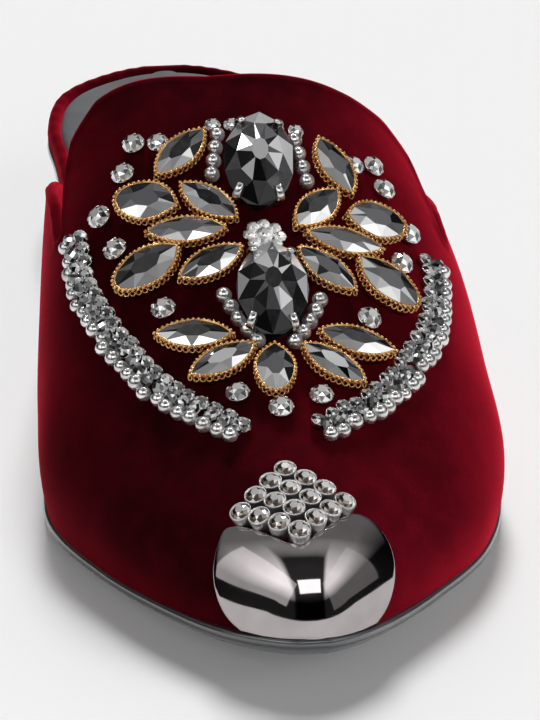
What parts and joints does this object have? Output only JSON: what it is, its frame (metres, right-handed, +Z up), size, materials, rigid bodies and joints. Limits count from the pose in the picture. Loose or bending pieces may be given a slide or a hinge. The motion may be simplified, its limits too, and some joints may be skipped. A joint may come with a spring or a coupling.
{
  "type": "mule",
  "caption": "Left mule: open back, pointed toe, velvet upper with slipper tongue, polished toe cap, jewelled vamp and low heel.",
  "frame": {"origin": "on the floor under the middle of the shoe's box", "axes": "+Z up, -Y towards the toe, +X towards the outer side of the left foot"},
  "size_m": [0.0882, 0.2614, 0.0698],
  "materials": {
    "crystal": "cut clear crystal in silver cups",
    "gold": "polished gold-coloured edge round cut grey stone",
    "grey_stone": "cut dark grey stone with silver claws",
    "gunmetal": "polished dark metal",
    "heel": "smooth dark covered heel",
    "rubber": "dark satin rubber with a bevelled edge",
    "silver": "polished silver-coloured beads",
    "smoke_crystal": "cut smoke-grey beads",
    "sock": "matt grey lining with a stitched edge",
    "velvet": "deep red cut-pile velvet"
  },
  "bodies": {
    "root": {"beads_high_inner": "silver", "beads_high_outer": "silver", "beads_low_inner": "silver", "beads_low_outer": "silver", "centre_cluster": "crystal", "crystal_1_inner": "crystal", "crystal_1_outer": "crystal", "crystal_2_inner": "crystal", "crystal_2_outer": "crystal", "crystal_3_inner": "crystal", "crystal_3_outer": "crystal", "crystal_4_inner": "crystal", "crystal_4_outer": "crystal", "crystal_5_inner": "crystal", "crystal_5_outer": "crystal", "crystal_6_inner": "crystal", "crystal_6_outer": "crystal", "crystal_7_inner": "crystal", "crystal_7_outer": "crystal", "crystal_8_inner": "crystal", "crystal_8_outer": "crystal", "crystal_9_inner": "crystal", "crystal_9_outer": "crystal", "crystal_low": "crystal", "garland_inner": "smoke_crystal", "garland_outer": "smoke_crystal", "gold_drop": "gold", "gold_navette_1_inner": "gold", "gold_navette_1_outer": "gold", "gold_navette_2_inner": "gold", "gold_navette_2_outer": "gold", "gold_navette_3_inner": "gold", "gold_navette_3_outer": "gold", "gold_navette_4_inner": "gold", "gold_navette_4_outer": "gold", "gold_navette_5_inner": "gold", "gold_navette_5_outer": "gold", "gold_navette_6_inner": "gold", "gold_navette_6_outer": "gold", "gold_pear_1_inner": "gold", "gold_pear_1_outer": "gold", "gold_pear_2_inner": "gold", "gold_pear_2_outer": "gold", "heel_block": "heel", "insole": "sock", "outsole": "rubber", "oval_stone_low": "grey_stone", "oval_stone_top": "grey_stone", "seat_binding": "velvet", "toe_cap": "gunmetal", "toe_crystals": "crystal", "top_lift": "rubber", "upper": "velvet"}
  },
  "joints": []
}
